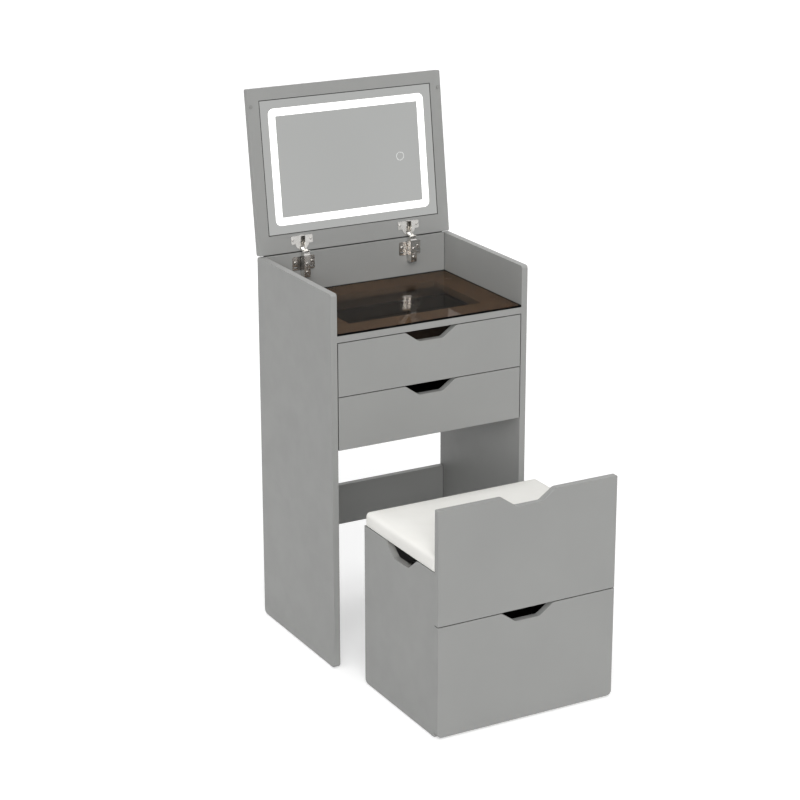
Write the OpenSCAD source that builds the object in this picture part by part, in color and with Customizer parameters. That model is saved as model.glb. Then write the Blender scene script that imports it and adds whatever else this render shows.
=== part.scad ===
// Small dressing table with a lighted flip-up mirror lid and a storage stool
// Origin on the floor, in the middle of the cabinet's width, at its front plane
// X to the right, Y to the back, Z up, lengths in millimetres

/* [Cabinet] */
// Width over the side panels
body_w = 500; // [440:1:620]
// Depth of the side panels
body_d = 364; // [352:1:420]
// Height of the side panels' top edge above the floor
body_h = 885; // [875:1:960]
// Thickness of the painted boards
board_t = 15; // [13:0.5:18]
// Height of the floor glides
glide_h = 2; // [1.5:0.5:5]
// Diameter of the floor glides
glide_d = 12; // [8:1:13]
// Radius of the panels' lower corners
foot_r = 11; // [3:1:20]
// Radius of the side panels' upper corners
shoulder_r = 7; // [2:1:12]
// Height of the rear stretcher
stretcher_h = 100; // [60:1:140]
// Height of the rear stretcher's lower edge above the floor
stretcher_z = 196; // [120:1:260]

/* [Tray] */
// Depth of the tray from the side panels' top down to the glass
tray_h = 91; // [75:1:98]
// Thickness of the glass
glass_t = 5; // [4:0.5:8]
// Play between the glass and the boards round it
glass_play = 1; // [0.5:0.25:2]
// Width of the deck frame's side and rear bands
deck_band = 65; // [50:1:90]
// Width of the deck frame's front band
deck_front = 68; // [50:1:90]
// Diameter of the cam fittings in the deck frame
cam_d = 15; // [12:1:18]
// Distance of a cam fitting's centre from the side panel
cam_inset = 28; // [22:1:34]
// Distance of the front cam fittings from the deck frame's front edge
cam_front = 80; // [40:1:110]
// Distance of the rear cam fittings from the back panel
cam_rear = 67; // [40:1:110]

/* [Drawers] */
// Height of a cabinet drawer's front
drawer_h = 122.5; // [118:0.5:125]
// Gap above and below each front
front_gap = 2; // [1.5:0.25:4]
// Gap beside each front
side_gap = 2; // [1.5:0.25:4]
// Thickness of the drawer boxes' boards
box_t = 12; // [9:1:15]
// Thickness of the drawer bottoms
bottom_t = 5; // [3:0.5:6]
// Depth of the groove that holds a drawer bottom
groove = 5; // [3:0.5:7]
// Height of the groove above the box's lower edge
groove_up = 8; // [6:1:14]
// Height of the cabinet drawers' boxes
box_h = 80; // [60:1:84]
// Height of a box's lower edge above the lower edge of its front
box_up = 12; // [8:1:16]
// Space between a cabinet drawer's box and the back panel
box_behind = 30; // [14:1:60]
// Travel of the cabinet drawers
drawer_travel = 220; // [150:5:230]
// Width of a finger notch at the edge it is cut into
notch_w = 130; // [100:1:160]
// Depth of a finger notch
notch_d = 24.5; // [18:0.5:30]
// Width of a finger notch's flat bottom
notch_flat = 60; // [40:1:80]
// Radius of the curves at a finger notch's corners
notch_r = 14; // [4:1:16]

/* [Runners] */
// Space that a runner fills beside a drawer box
runner_t = 12.5; // [11:0.5:14]
// Height of the fixed rail
runner_h = 35; // [27:1:45]
// Thickness of the rails' steel
runner_s = 1.2; // [1:0.1:1.6]
// Play between the two rails, above and below
runner_play = 0.3; // [0.2:0.05:0.6]
// Height of the runner's middle above the box's lower edge
runner_up = 36; // [30:1:44]

/* [Lid] */
// Distance that the closed lid stands out over the cabinet's front
lid_over = 16; // [0:1:30]
// Distance that the closed lid reaches over the back panel
lid_rear_over = 15; // [14.8:0.1:15.4]
// Thickness of the lid
lid_t = 15; // [15:0.5:18]
// Radius of the lid's rounded long edges at the hinge side
lid_edge_r = 2; // [1.75:0.25:3]
// Radius of the lid's corners
lid_corner_r = 4; // [2:1:12]
// Gap between the closed lid and the side panels
lid_gap = 2.2; // [2:0.1:4]
// Angle that the lid opens
lid_open = 97.6; // [90:0.1:105]
// Distance of the mirror glass from the lid's side edges
mirror_side = 29; // [22:1:60]
// Distance of the mirror glass from the lid's free edge
mirror_free = 29; // [22:1:60]
// Distance of the mirror glass from the lid's hinge edge
mirror_up = 44; // [42:1:60]
// Thickness of the mirror glass
mirror_t = 4; // [3:0.5:4.5]
// Depth of the mirror's face below the lid's face
mirror_sunk = 0.6; // [0.3:0.1:1]
// Play round the mirror glass
mirror_play = 1.2; // [0.5:0.1:1.5]
// Width of the ledge that the mirror glass lies on
mirror_ledge = 9; // [6:1:12]
// Thickness of the lid's outer skin behind the lights
lid_skin = 4; // [3:0.5:4.5]
// Distance of the light band from the mirror's edge
band_inset = 20; // [14:1:30]
// Width of the light band
band_w = 17.5; // [10:0.5:25]
// Radius of the light band's outer corners
band_r = 13; // [6:1:20]
// Depth of the frosting cut into the glass
frost_t = 0.6; // [0.3:0.1:1]
// Outer diameter of the touch ring
touch_d = 20; // [14:1:26]
// Width of the touch ring's line
touch_line = 1.1; // [0.8:0.1:3]
// Distance of the touch ring from the mirror's right edge
touch_in = 90; // [60:1:140]
// Height of the touch ring above the mirror's lower edge
touch_up = 146; // [60:1:240]

/* [Hinges] */
// Distance of each hinge from the lid's side edge
hinge_in = 110; // [70:1:150]
// Distance of the turning axis from the closed lid's rear edge
axis_in = 5.6; // [5.4:0.1:5.8]
// Height of the turning axis above the lid's inner face
axis_up = 4.8; // [4.7:0.1:5]
// Diameter of the hinge cup
cup_d = 35; // [34:0.5:36]
// Depth of the hinge cup
cup_h = 11.5; // [11.25:0.25:12]
// Distance of the hinge cup from the lid's edge
cup_edge = 3; // [2.9:0.1:3.2]
// Thickness of the cup's steel
cup_s = 0.8; // [0.6:0.1:1]
// Width of the cup's wing plate
wing_w = 55; // [52:1:64]
// Height of the cup's wing plate
wing_h = 19; // [16:1:22]
// Distance of the wing plate's middle beyond the cup's
wing_out = 6.5; // [1:0.5:9.5]
// Thickness of the wing plate and the mounting plate
plate_t = 1.2; // [1:0.1:1.4]
// Width of the mounting plate over its wings
mount_w = 57; // [50:1:64]
// Height of the mounting plate
mount_h = 32; // [27:1:36]
// Distance of the mounting plate's top from the side panels' top
mount_drop = 9; // [7:1:16]
// Width of the hinge arm
arm_w = 15.5; // [15.5:0.5:19]
// Distance of the arm's face from the back panel
arm_out = 20; // [19.5:0.5:21]
// Length of the hinge arm below the side panels' top
arm_drop = 55; // [48:1:64]
// Thickness of the arm's steel
arm_s = 1.2; // [1:0.1:1.4]
// Radius of the hinge arm's pins
arm_pin_r = 1.25; // [1:0.05:1.4]
// Radius of the cup's pins
cup_pin_r = 1; // [0.8:0.05:1.2]
// Running clearance of a link on its pin
pin_play = 0.05; // [0.03:0.01:0.08]

/* [Stool] */
// Space between the stool and each side panel
stool_play = 13.5; // [6:0.5:30]
// Depth of the stool with its fronts
stool_d = 325; // [305:1:334]
// Height of the stool's sides above the floor
stool_h = 380; // [340:1:400]
// Space between the upper front and the lower drawer
stool_under = 3; // [2:0.5:12]
// Height of the joint between the two fronts
stool_seam = 261; // [240:1:300]
// Distance that the stool stands out from the cabinet's front
stool_out = 420; // [380:1:460]
// Height of the stool's base board above the floor
base_up = 18; // [12:1:30]
// Space between the stool drawer's box and the stool's back
stool_box_behind = 28; // [14:1:60]
// Height of the stool drawer's box
stool_box_h = 168; // [120:1:175]
// Height of the stool box's lower edge above the base board
stool_box_up = 12; // [8:1:20]
// Travel of the stool's drawer
stool_travel = 190; // [120:5:200]
// Width of the hand hole in each stool side
hand_w = 140; // [100:1:160]
// Depth of the hand hole
hand_d = 30; // [20:1:40]
// Width of the hand hole's flat bottom
hand_flat = 64; // [40:1:80]
// Distance of the hand hole's middle from the stool's front
hand_in = 160; // [140:1:180]

/* [Seat] */
// Height of the padded seat above the stool's sides
seat_h = 38; // [25:1:50]
// Thickness of the seat's board
seat_board_t = 9; // [6:1:12]
// Distance of the seat's board from the cover's edge
seat_board_in = 12; // [8:1:20]
// Gap between the cushion and the upper front
seat_gap = 1.1; // [0.9:0.1:2]
// Width and height of the locating battens
batten = 16; // [12:1:20]
// Play between a batten and the stool
batten_play = 0.8; // [0.5:0.1:2]
// Height of the cushion's crown over its edge
seat_crown = 5; // [2:0.5:8]
// Radius of the cushion's upper edge
seat_r = 9; // [4:1:12]

/* [Hidden] */
$fn = 48;

paint = [0.60, 0.60, 0.59];
raw_board = [0.80, 0.74, 0.64];
dark_board = [0.20, 0.19, 0.18];
steel = [0.80, 0.80, 0.78];
smoke = [0.30, 0.22, 0.19];
mirror_grey = [0.62, 0.63, 0.62];
light_white = [1, 1, 0.97];
dark = [0.15, 0.15, 0.16];
cover_white = [0.95, 0.95, 0.93];

// Inside faces and levels of the cabinet
inner_x = body_w / 2 - board_t;
back_y = body_d - board_t;
glass_z = body_h - tray_h - glass_t;
deck_z = glass_z - board_t;
upper_z = deck_z - front_gap - drawer_h;
lower_z = upper_z - front_gap - drawer_h;

// Drawer boxes
box_l = back_y - board_t - box_behind;
box_x = inner_x - runner_t;
front_x = inner_x - side_gap;

// Stool levels
stool_w = 2 * (inner_x - stool_play);
stool_top = lower_z - stool_under;
stool_front_y = -stool_out;
stool_y = stool_front_y + board_t;
stool_back_y = stool_front_y + stool_d;
stool_x = stool_w / 2;
stool_inner_x = stool_x - board_t;
stool_box_x = stool_inner_x - runner_t;
base_z = base_up + board_t;
stool_box_z = base_z + stool_box_up;
stool_box_l = stool_d - 2 * board_t - stool_box_behind;
stool_front_z = glide_h + front_gap;
stool_front_h = stool_seam - front_gap / 2 - stool_front_z;
upper_front_z = stool_seam + front_gap / 2;

// Seat
seat_back_y = stool_back_y;
seat_front_y = stool_y + seat_gap;
seat_l = seat_back_y - seat_front_y;

// Closed lid, and the axis that it turns about
lid_z = body_h + lid_gap;
lid_rear = back_y + lid_rear_over;
lid_d = lid_rear + lid_over;
axis_y = lid_rear - axis_in;
axis_z = lid_z + axis_up;
hinge_x = body_w / 2 - hinge_in;
cup_s_mid = cup_edge + cup_d / 2;
plate_z = body_h - mount_drop - mount_h;
arm_z = body_h - arm_drop;

// Directions are angles in the YZ plane, anticlockwise from +Y
function on_circle(centre, r, a) = [centre[0] + r * cos(a), centre[1] + r * sin(a)];
function bearing(from, to) = atan2(to[1] - from[1], to[0] - from[0]);

// A point of the closed lid, s from its hinge edge and t into its thickness
function lid_point(s, t) = [lid_rear - s, lid_z + t];
axis_point = [axis_y, axis_z];
function opened(p) = on_circle(axis_point, norm(p - axis_point), bearing(axis_point, p) - lid_open);

// Pins in the cup: one deep and one near its mouth, both by the wall nearest the lid's edge
deep_pin = lid_point(cup_edge + 3.6, axis_up + 3.2);
mouth_pin = lid_point(cup_edge + 4.8, axis_up - 3.4);
deep_open = opened(deep_pin);
mouth_open = opened(mouth_pin);

// Each arm pin lies on the line that halves its cup pin's swing, so the link is as long open as closed
rear_reach = 24.5;
nose_reach = 22;
deep_half = bearing(axis_point, deep_pin) - lid_open / 2;
mouth_half = bearing(axis_point, mouth_pin) - lid_open / 2;
rear_pin = on_circle(axis_point, -rear_reach, deep_half);
nose_pin = on_circle(axis_point, nose_reach, mouth_half);

// Play that each link's arm end needs at the middle of the swing
inner_len = norm(deep_open - rear_pin);
outer_len = norm(mouth_open - nose_pin);
inner_slack = rear_reach + norm(deep_pin - axis_point) - inner_len;
outer_slack = outer_len - (nose_reach - norm(mouth_pin - axis_point));
link_play = 0.35;
eye_r = 2.2;

// Half the widths of the linkage's layers, from the middle out
inner_link_x = 4;
outer_link_x = [5, 6.2];
arm_x = arm_w / 2;
pin_head = 0.6;
nose_front = eye_r + outer_slack + arm_s + 1.2;
ear_x = [outer_link_x[1] + 0.2, outer_link_x[1] + 1.2];
mouth_pin_x = inner_link_x + 0.6;

echo(rear_pin = rear_pin, nose_pin = nose_pin, deep_open = deep_open, mouth_open = mouth_open);
echo(axis = axis_point, inner_slack = inner_slack, outer_slack = outer_slack);
echo(inner_turn = bearing(rear_pin, deep_pin) - bearing(rear_pin, deep_open));
echo(outer_turn = bearing(nose_pin, mouth_pin) - bearing(nose_pin, mouth_open));

// Points of an arc that rounds the corner b between a and c
function round_corner(a, b, c, r, n = 6) =
    let (u = (a - b) / norm(a - b), v = (c - b) / norm(c - b), half = acos(u * v) / 2)
    r <= 0 ? [b] :
    let (m = (u + v) / norm(u + v), centre = b + m * r / sin(half),
         start = bearing(centre, b + u * r / tan(half)), end = bearing(centre, b + v * r / tan(half)),
         turn = (end - start + 540) % 360 - 180)
    [for (i = [0:n]) on_circle(centre, r, start + turn * i / n)];

// A closed outline from points [x, y, radius]
function outline(p) =
    let (k = len(p), xy = [for (q = p) [q[0], q[1]]])
    [for (i = [0:k - 1]) each round_corner(xy[(i + k - 1) % k], xy[i], xy[(i + 1) % k], p[i][2])];

// Points of a finger notch cut down from an edge at height h, left to right
function notch(mid, h, w, d, flat, r) = [
    [mid - w / 2, h, r], [mid - flat / 2, h - d, r], [mid + flat / 2, h - d, r], [mid + w / 2, h, r]
];

module mirror_x() {
    children();
    mirror([1, 0, 0]) children();
}

// A board in the XZ plane, its front face at y
module upright_board(points, y, t) {
    translate([0, y + t, 0])
        rotate([90, 0, 0])
            linear_extrude(height = t) polygon(outline(points));
}

// A board in the YZ plane, its left face at x
module side_board(points, x, t) {
    translate([x, 0, 0])
        rotate([90, 0, 90])
            linear_extrude(height = t) polygon(outline(points));
}

// A flat board between two corners in X and Y, its lower face at z
module flat_board(x, y0, y1, z, t) {
    translate([-x, y0, z]) cube([2 * x, y1 - y0, t]);
}

module side_panel(x) {
    side_board([
        [0, glide_h, foot_r], [body_d, glide_h, foot_r],
        [body_d, body_h, shoulder_r], [0, body_h, shoulder_r]
    ], x, board_t);
}

module left_side_panel() {
    color(paint) side_panel(-body_w / 2);
}

module right_side_panel() {
    color(paint) side_panel(inner_x);
}

module back_panel() {
    color(paint) translate([-inner_x, back_y, lower_z]) cube([2 * inner_x, board_t, body_h - lower_z]);
}

module rear_stretcher() {
    color(paint) translate([-inner_x, back_y, stretcher_z]) cube([2 * inner_x, board_t, stretcher_h]);
}

// Places of the cam fittings in the deck frame
cam_places = [for (x = [-1, 1], y = [cam_front, back_y - cam_rear]) [x * (inner_x - cam_inset), y]];
cam_h = board_t - 2;

module deck_frame() {
    color(paint) difference() {
        flat_board(inner_x, 0, back_y, deck_z, board_t);
        translate([0, 0, -1]) flat_board(inner_x - deck_band, deck_front, back_y - deck_band, deck_z, board_t + 2);
        for (p = cam_places) translate([p[0], p[1], glass_z - cam_h]) cylinder(h = cam_h + 1, d = cam_d);
    }
}

module deck_cams() {
    color(steel) for (p = cam_places) translate([p[0], p[1], glass_z - cam_h]) difference() {
        cylinder(h = cam_h, d = cam_d);
        translate([-cam_d * 0.3, -1, cam_h - 2]) cube([cam_d * 0.6, 2, 3]);
        translate([-1, -cam_d * 0.3, cam_h - 2]) cube([2, cam_d * 0.6, 3]);
    }
}

module glass_top() {
    color(smoke) flat_board(inner_x - glass_play, 0, back_y - glass_play, glass_z, glass_t);
}

module cabinet_glides() {
    color(dark) for (x = [-1, 1], y = [2 * foot_r, body_d - 2 * foot_r])
        translate([x * (body_w - board_t) / 2, y, 0]) cylinder(h = glide_h, d = glide_d);
}

// Fixed rail on the right, its web against a panel at x, its middle at height z
module fixed_rail(x, y, z, l) {
    lip = runner_t - 3;
    translate([x - lip, y, z - runner_h / 2]) difference() {
        cube([lip, l, runner_h]);
        translate([-1, -1, runner_s]) cube([lip + 1 - runner_s, l + 2, runner_h - 2 * runner_s]);
    }
}

// Moving rail on the right, its web against a drawer box at x
module moving_rail(x, y, z, l) {
    lip = runner_t - 3;
    h = runner_h - 2 * runner_s - 2 * runner_play;
    translate([x, y, z - h / 2]) difference() {
        cube([lip, l, h]);
        translate([runner_s, -1, runner_s]) cube([lip, l + 2, h - 2 * runner_s]);
    }
}

module cabinet_rails(front_z) {
    color(steel) mirror_x() fixed_rail(inner_x, board_t + front_gap, front_z + box_up + runner_up, box_l);
}

module drawer_rails(front_z) {
    color(steel) mirror_x() moving_rail(box_x, board_t, front_z + box_up + runner_up, box_l);
}

// Box of a drawer: x half width, y where the front's rear face is, z lower edge, l depth, h height
module box_sides(x, y, z, l, h) {
    color(dark_board) mirror_x() difference() {
        translate([x - box_t, y, z]) cube([box_t, l, h]);
        translate([x - box_t - 1, y - 1, z + groove_up]) cube([groove + 1, l + 2, bottom_t]);
    }
}

module box_back(x, y, z, l, h) {
    color(dark_board) translate([-(x - box_t), y + l - box_t, z + groove_up + bottom_t])
        cube([2 * (x - box_t), box_t, h - groove_up - bottom_t]);
}

module box_bottom(x, y, z, l) {
    color(dark_board) translate([-(x - box_t + groove), y - groove, z + groove_up])
        cube([2 * (x - box_t + groove), l + groove, bottom_t]);
}

// Drawer front with its finger notch and the groove for the bottom
module drawer_front(x, y, z, h, box_z, box_half, r) {
    color(paint) difference() {
        upright_board(concat(
            [[x, z + h, 0], [x, z, r], [-x, z, r], [-x, z + h, 0]],
            notch(0, z + h, notch_w, notch_d, notch_flat, notch_r)
        ), y, board_t);
        translate([-(box_half - box_t + groove), y + board_t - groove, box_z + groove_up])
            cube([2 * (box_half - box_t + groove), groove + 1, bottom_t]);
    }
}

module cabinet_drawer_front(z) {
    drawer_front(front_x, 0, z, drawer_h, z + box_up, box_x, 0);
}

module upper_drawer_front() { cabinet_drawer_front(upper_z); }
module upper_drawer_sides() { box_sides(box_x, board_t, upper_z + box_up, box_l, box_h); }
module upper_drawer_back() { box_back(box_x, board_t, upper_z + box_up, box_l, box_h); }
module upper_drawer_bottom() { box_bottom(box_x, board_t, upper_z + box_up, box_l); }
module lower_drawer_front() { cabinet_drawer_front(lower_z); }
module lower_drawer_sides() { box_sides(box_x, board_t, lower_z + box_up, box_l, box_h); }
module lower_drawer_back() { box_back(box_x, board_t, lower_z + box_up, box_l, box_h); }
module lower_drawer_bottom() { box_bottom(box_x, board_t, lower_z + box_up, box_l); }

// Turns what is drawn for the closed lid to its open place
module lid_place() {
    translate([0, axis_y, axis_z]) rotate([-lid_open, 0, 0]) translate([0, -axis_y, -axis_z]) children();
}

// A plate on the lid: half width x, from s0 to s1 along it, from t0 to t1 in its thickness, corner radius r
module lid_plate(x, s0, s1, t0, t1, r = 0) {
    translate([0, 0, lid_z + t0]) linear_extrude(height = t1 - t0) polygon(outline([
        [-x, lid_rear - s1, r], [x, lid_rear - s1, r], [x, lid_rear - s0, r], [-x, lid_rear - s0, r]
    ]));
}

mirror_x_half = body_w / 2 - mirror_side;
mirror_top = lid_d - mirror_free;
glass_in = mirror_sunk + mirror_t;
pocket_t = lid_t - lid_skin;
ledge_x = mirror_x_half - mirror_ledge;

module lid_board() {
    // Profile along the lid, with the hinge edge's two long edges rounded
    intersection() {
        translate([-body_w / 2, 0, 0]) rotate([90, 0, 90]) linear_extrude(height = body_w) polygon(outline([
            [lid_rear - lid_d, lid_z, 0], [lid_rear, lid_z, lid_edge_r],
            [lid_rear, lid_z + lid_t, lid_edge_r], [lid_rear - lid_d, lid_z + lid_t, 0]
        ]));
        lid_plate(body_w / 2, 0, lid_d, -1, lid_t + 1, lid_corner_r);
    }
}

module lid_panel() {
    color(paint) lid_place() difference() {
        lid_board();
        lid_plate(mirror_x_half + mirror_play, mirror_up - mirror_play, mirror_top + mirror_play, -1, glass_in);
        lid_plate(ledge_x, mirror_up + mirror_ledge, mirror_top - mirror_ledge, 0, pocket_t);
        for (x = [-hinge_x, hinge_x]) translate([x, lid_rear - cup_s_mid, lid_z - 1])
            cylinder(h = cup_h + 1, d = cup_d);
        translate([inlet_x, lid_rear - inlet_s, lid_z + lid_t - inlet_h]) cylinder(h = inlet_h + 1, d = inlet_d);
    }
}

module band_ring(extra, t0, t1) {
    difference() {
        lid_plate(mirror_x_half - band_inset + extra, mirror_up + band_inset - extra,
                  mirror_top - band_inset + extra, t0, t1, band_r);
        lid_plate(mirror_x_half - band_inset - band_w, mirror_up + band_inset + band_w,
                  mirror_top - band_inset - band_w, t0 - 1, t1 + 1, 2);
    }
}

module touch_mark(t0, t1) {
    translate([mirror_x_half - touch_in, lid_rear - mirror_up - touch_up, lid_z + t0]) difference() {
        cylinder(h = t1 - t0, d = touch_d);
        translate([0, 0, -1]) cylinder(h = t1 - t0 + 2, d = touch_d - 2 * touch_line);
    }
}

module mirror_glass() {
    color(mirror_grey) lid_place() difference() {
        lid_plate(mirror_x_half, mirror_up, mirror_top, mirror_sunk, glass_in);
        band_ring(0, mirror_sunk - 1, mirror_sunk + frost_t);
        touch_mark(mirror_sunk - 1, mirror_sunk + frost_t);
    }
}

module light_band() {
    color(light_white) lid_place() band_ring(0, mirror_sunk, mirror_sunk + frost_t);
}

module touch_ring() {
    color(light_white) lid_place() touch_mark(mirror_sunk, mirror_sunk + frost_t);
}

strip_t = 1.6;
sensor_w = 28;
sensor_l = 20;
sensor_t = 2.4;
driver_w = 70;
driver_l = 34;
driver_t = 5;
driver_in = 80;
driver_up = 90;

module led_strip() {
    color([0.9, 0.9, 0.8]) lid_place() lid_ring(band_inset + band_w / 2, 4, pocket_t - strip_t, pocket_t);
}

// A flat ring under the light band: its middle line at inset from the mirror's edge, half width w
module lid_ring(inset, w, t0, t1) {
    difference() {
        lid_plate(mirror_x_half - inset + w, mirror_up + inset - w, mirror_top - inset + w, t0, t1);
        lid_plate(mirror_x_half - inset - w, mirror_up + inset + w, mirror_top - inset - w, t0 - 1, t1 + 1);
    }
}

module touch_sensor() {
    color(dark) lid_place() translate([mirror_x_half - touch_in - sensor_w / 2,
        lid_rear - mirror_up - touch_up - sensor_l / 2, lid_z + glass_in]) cube([sensor_w, sensor_l, sensor_t]);
}

module light_driver() {
    color(dark) lid_place() translate([mirror_x_half - driver_in - driver_w, lid_rear - mirror_up - driver_up,
        lid_z + pocket_t - driver_t]) cube([driver_w, driver_l, driver_t]);
}

// Clear bumpers that the closed lid rests on the side panels with
module lid_bumpers() {
    color([0.9, 0.9, 0.9]) lid_place() for (x = [-1, 1])
        translate([x * (body_w - board_t) / 2, bumper_y, lid_z - lid_gap + 0.3])
            cylinder(h = lid_gap - 0.3, d = bumper_d);
}

bumper_y = 24;
bumper_d = 8;

// Round low-voltage inlet in the lid's outer face, near its hinge edge
inlet_side = 50;
inlet_x = body_w / 2 - inlet_side;
inlet_s = 22;
inlet_h = 9;
inlet_d = 11;

module power_inlet() {
    color(dark) lid_place() translate([inlet_x, lid_rear - inlet_s, lid_z + lid_t - inlet_h]) {
        difference() {
            cylinder(h = inlet_h, d = inlet_d);
            translate([0, 0, 1.5]) cylinder(h = inlet_h, d = 5.6);
        }
        cylinder(h = inlet_h - 1, d = 2);
    }
}

// Hinge cup with its wings, drawn for the closed lid
wing_mid = cup_s_mid + wing_out;
wing_hole_x = wing_w / 2 - 5;
mouth_cut = 4;

// The slot in the cup's flange: narrow for the links, then wide for the arm's nose
mouth_x = [outer_link_x[1] + 0.5, arm_x + pin_head + 0.4];
mouth_s = [cup_edge + 2 * cup_s, lid_rear - nose_pin[0] - 7.5, lid_rear - nose_pin[0] + nose_front + 1];

module hinge_cup() {
    difference() {
        union() {
            translate([0, lid_rear - cup_s_mid, lid_z]) cylinder(h = cup_h, d = cup_d);
            translate([0, lid_rear - cup_s_mid, lid_z - plate_t]) cylinder(h = plate_t, d = cup_d);
            lid_plate(wing_w / 2, wing_mid - wing_h / 2, wing_mid + wing_h / 2, -plate_t, 0, 2);
        }
        translate([0, lid_rear - cup_s_mid, lid_z])
            cylinder(h = cup_h - cup_s, d = cup_d - 2 * cup_s);
        for (i = [0, 1]) lid_plate(mouth_x[i], mouth_s[i], mouth_s[2], -plate_t - 1, 1);
        for (x = [-wing_hole_x, wing_hole_x]) translate([x, lid_rear - wing_mid, lid_z - plate_t - 1])
            cylinder(h = plate_t + 2, d = 4);
        translate([-ear_x[0], lid_rear - cup_edge - mouth_cut, lid_z - plate_t - 1])
            cube([2 * ear_x[0], mouth_cut + 1, plate_t + 2]);
        pin_at(deep_pin, ear_x[1], cup_pin_r);
    }
    // Two ears that hold the pins
    for (x = [-ear_x[1], ear_x[0]]) difference() {
        intersection() {
            side_board([
                [lid_rear - cup_edge - 8, lid_z - 0.4, 2], [lid_rear - cup_edge - cup_s / 2, lid_z - 0.4, 1],
                [lid_rear - cup_edge - cup_s / 2, lid_z + cup_h - cup_s / 2, 0],
                [lid_rear - cup_edge - 8, lid_z + cup_h - cup_s / 2, 0]
            ], x, ear_x[1] - ear_x[0]);
            translate([0, lid_rear - cup_s_mid, lid_z - plate_t]) cylinder(h = cup_h + plate_t, d = cup_d - cup_s);
        }
        pin_at(deep_pin, ear_x[1] + 1, cup_pin_r);
        pin_at(mouth_pin, ear_x[1] + 1, cup_pin_r);
    }
}

// A pin along X, half length x, at a point of the YZ plane
module pin_at(p, x, r) {
    translate([-x, p[0], p[1]]) rotate([0, 90, 0]) cylinder(h = 2 * x, r = r);
}

module left_hinge_cup() {
    color(steel) lid_place() translate([-hinge_x, 0, 0]) hinge_cup();
}

module right_hinge_cup() {
    color(steel) lid_place() translate([hinge_x, 0, 0]) hinge_cup();
}

module cup_pins() {
    color(steel) lid_place() for (x = [-hinge_x, hinge_x]) translate([x, 0, 0]) {
        pin_at(deep_pin, ear_x[1], cup_pin_r);
        for (side = [-1, 1]) translate([side * (ear_x[1] + mouth_pin_x) / 2, 0, 0])
            pin_at(mouth_pin, (ear_x[1] - mouth_pin_x) / 2, cup_pin_r);
    }
}

// Pan-head screw along an axis: head up, head diameter d, shank under the head
module screw(d, head, shank_d, shank) {
    difference() {
        union() {
            cylinder(h = head, d1 = d, d2 = d * 0.8);
            translate([0, 0, -shank]) cylinder(h = shank + head / 2, d = shank_d);
        }
        translate([-d * 0.3, -0.5, head - 0.7]) cube([d * 0.6, 1, 1]);
        translate([-0.5, -d * 0.3, head - 0.7]) cube([1, d * 0.6, 1]);
    }
}

module cup_screws() {
    color(steel) lid_place() for (x = [-hinge_x, hinge_x], side = [-1, 1])
        translate([x + side * wing_hole_x, lid_rear - wing_mid, lid_z - plate_t])
            rotate([180, 0, 0]) screw(7, 1.8, 4, plate_t);
}

// Mounting plate on the back panel, with the raised rib that carries the arm
wing_slot_up = 7;
wing_screw_up = 18;
wing_slot_z = plate_z + wing_slot_up;
wing_screw_z = plate_z + wing_screw_up;
wing_screw_x = 21;
rib_x = arm_x - arm_s - 0.3;
rib_top = rear_pin[1] - eye_r - inner_slack - 2;
arm_y = back_y - arm_out;

module mount_plate() {
    difference() {
        upright_board([
            [-mount_w / 2, plate_z, 3], [mount_w / 2, plate_z, 3],
            [mount_w / 2, plate_z + mount_h, 3], [-mount_w / 2, plate_z + mount_h, 3]
        ], back_y - plate_t, plate_t);
        for (side = [-1, 1]) {
            translate([side * wing_screw_x, back_y - plate_t - 1, wing_screw_z])
                rotate([-90, 0, 0]) cylinder(h = plate_t + 2, d = 4);
            translate([side * wing_screw_x - 4.5, back_y - plate_t - 1, wing_slot_z - 1.5])
                cube([9, plate_t + 2, 3]);
        }
        translate([-inner_link_x - 1, back_y - plate_t - 1, rib_top])
            cube([2 * inner_link_x + 2, plate_t + 2, mount_h]);
    }
    difference() {
        translate([-rib_x, arm_y + arm_s, arm_z + 6]) cube([2 * rib_x, arm_out - arm_s - plate_t, rib_top - arm_z - 6]);
        translate([-rib_x + 1.5, arm_y + arm_s + 1.5, arm_z + 5])
            cube([2 * rib_x - 3, arm_out - arm_s - plate_t - 3, rib_top - arm_z]);
        for (z = [arm_screw_z, arm_adjust_z]) translate([0, arm_y - 1, z])
            rotate([-90, 0, 0]) cylinder(h = arm_s + 4, d = 4);
    }
    translate([-rib_x, back_y - plate_t - 0.5, arm_z + 6]) cube([2 * rib_x, plate_t + 0.5, plate_z - arm_z]);
}

module left_mount_plate() {
    color(steel) translate([-hinge_x, 0, 0]) mount_plate();
}

module right_mount_plate() {
    color(steel) translate([hinge_x, 0, 0]) mount_plate();
}

// Hinge arm: a channel whose cheeks carry the two arm pins
arm_screw_up = 12;
arm_screw_gap = 20;
arm_screw_z = arm_z + arm_screw_up;
arm_adjust_z = arm_screw_z + arm_screw_gap;
arm_hole_z = arm_screw_z + arm_screw_gap / 2;
nose_top = nose_pin[1] + eye_r + 1;
web_top = nose_pin[1] - 6.5;
nose_y = nose_pin[0] - nose_front;

module arm_cheek(x) {
    side_board([
        [arm_y, arm_z, 2], [back_y - plate_t - 0.4, arm_z, 2],
        [back_y - plate_t - 0.4, rear_pin[1] + 4, 2], [nose_pin[0] + 4, nose_top, 2],
        [nose_pin[0] - nose_front, nose_top, 2], [nose_pin[0] - nose_front, nose_pin[1] - 4, 1],
        [arm_y, web_top, 1]
    ], x, arm_s);
}

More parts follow.
